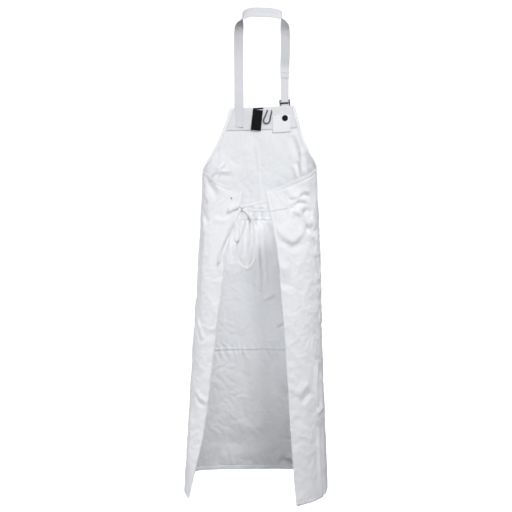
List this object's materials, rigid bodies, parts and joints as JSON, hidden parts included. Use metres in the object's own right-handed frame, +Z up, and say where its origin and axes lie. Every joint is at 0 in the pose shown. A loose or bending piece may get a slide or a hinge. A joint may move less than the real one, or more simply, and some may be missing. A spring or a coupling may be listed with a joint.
{
  "type": "butcher apron",
  "caption": "Full-length bib apron with wrap-round wings tied at the back with thin tapes, a slider-adjusted neck strap, a fabric label and a hanging loop.",
  "frame": {"origin": "on the inner face of the neck strap where it passes behind the neck", "axes": "+X to the right seen from the wearer's back, +Y the way the wearer faces, +Z up"},
  "size_m": [0.4423, 0.3698, 1.4989],
  "materials": {
    "cloth": "matt white cotton-polyester twill",
    "webbing": "white woven webbing",
    "tape": "white narrow woven tape",
    "thread": "white sewing thread",
    "black_label": "black woven label",
    "black_print": "black transfer print",
    "black_plastic": "black acetal, slight sheen",
    "grey_tape": "grey woven tape"
  },
  "bodies": {
    "apron": {"apron_cloth": "cloth", "front_double_panel": "cloth", "bib_facing": "cloth", "bib_hem_left": "cloth", "bib_hem_right": "cloth", "wing_top_hem_left": "cloth", "wing_top_hem_right": "cloth", "wing_edge_hem_left": "cloth", "wing_edge_hem_right": "cloth", "bottom_hem": "cloth", "neck_strap": "cloth", "adjuster_webbing": "webbing", "anchor_ring": "black_plastic", "anchor_loop": "webbing", "corner_patch": "cloth", "patch_mark": "black_print", "waist_tab": "cloth", "tie_eyelets": "thread", "bar_tacks": "thread", "bow_knot": "tape", "end_knot": "tape", "tail_knot": "tape", "tie_upper": "tape", "tie_lower": "tape", "tie_left": "tape", "tie_tail": "tape", "bow_loop_short": "tape", "bow_loop_long": "tape", "tie_end": "tape"},
    "slider": {"strap_slider": "black_plastic"},
    "label": {"label": "black_label"},
    "hanging_loop": {"hanging_loop": "grey_tape"}
  },
  "joints": [
    {"name": "slider_travel", "type": "slide", "parent": "apron", "child": "slider", "axis": [0, 0, 1], "range_m": [0, 0.055]},
    {"name": "label_swing", "type": "hinge", "parent": "apron", "child": "label", "pos_m": [-0.0045, 0.09585, -0.29], "axis": [-0.9945, 0, 0.1045], "range_deg": [0, 150]},
    {"name": "loop_swing", "type": "hinge", "parent": "apron", "child": "hanging_loop", "pos_m": [0.034, 0.09499, -0.291], "axis": [-0.9781, 0, 0.2079], "range_deg": [0, 150]}
  ]
}
